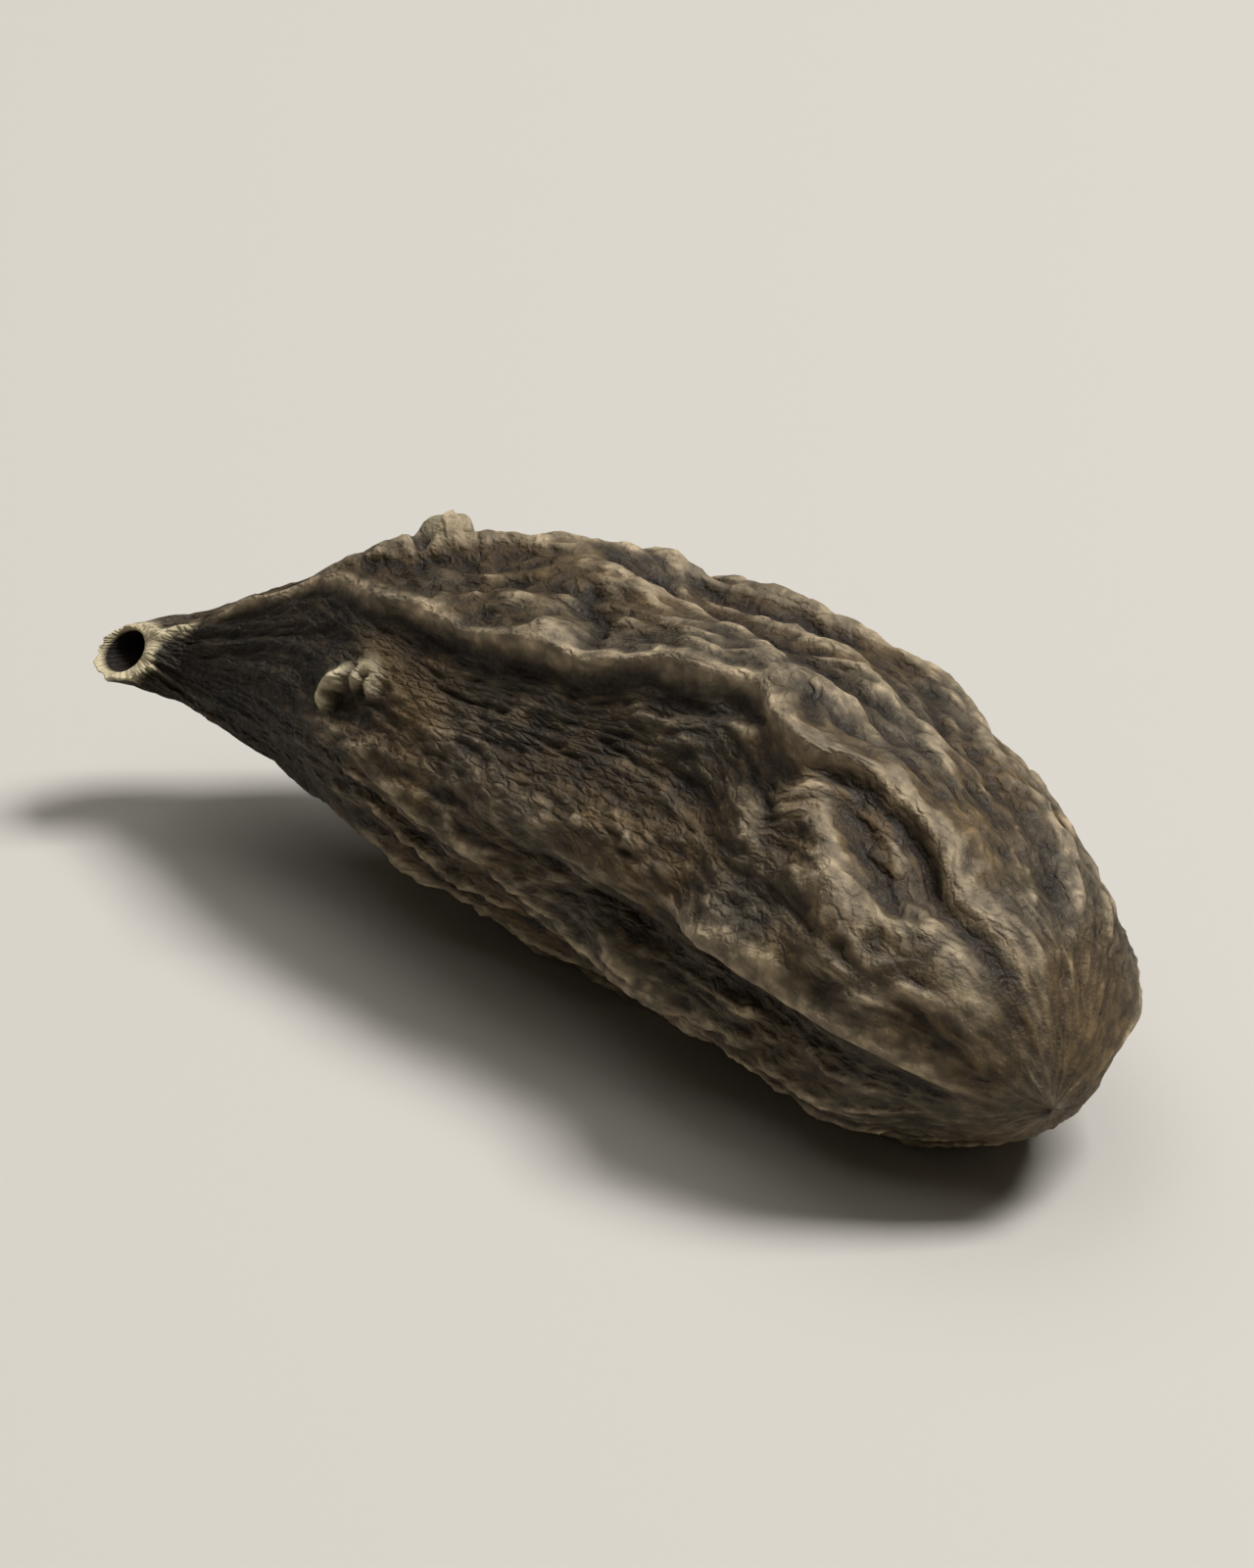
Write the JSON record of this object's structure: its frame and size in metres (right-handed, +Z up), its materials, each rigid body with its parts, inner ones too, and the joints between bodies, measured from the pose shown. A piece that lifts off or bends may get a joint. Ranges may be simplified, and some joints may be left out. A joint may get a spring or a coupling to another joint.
{
  "type": "caper berry",
  "caption": "Whole dried caper berry: a slightly bent, pear-shaped fruit with deep lengthwise folds, fine wrinkles and a short snapped-off hollow stalk, lying on its side.",
  "frame": {"origin": "centre of the berry's box, on the surface that it lies on", "axes": "+Z up as it lies; the length runs along X, with the stalk end at -X and the broad end at +X; the front that the camera sees faces -Y"},
  "size_m": [0.0314, 0.0142, 0.0107],
  "materials": {
    "dried_skin": "matte, dry and finely wrinkled"
  },
  "bodies": {
    "root": {"berry": "dried_skin"}
  },
  "joints": []
}
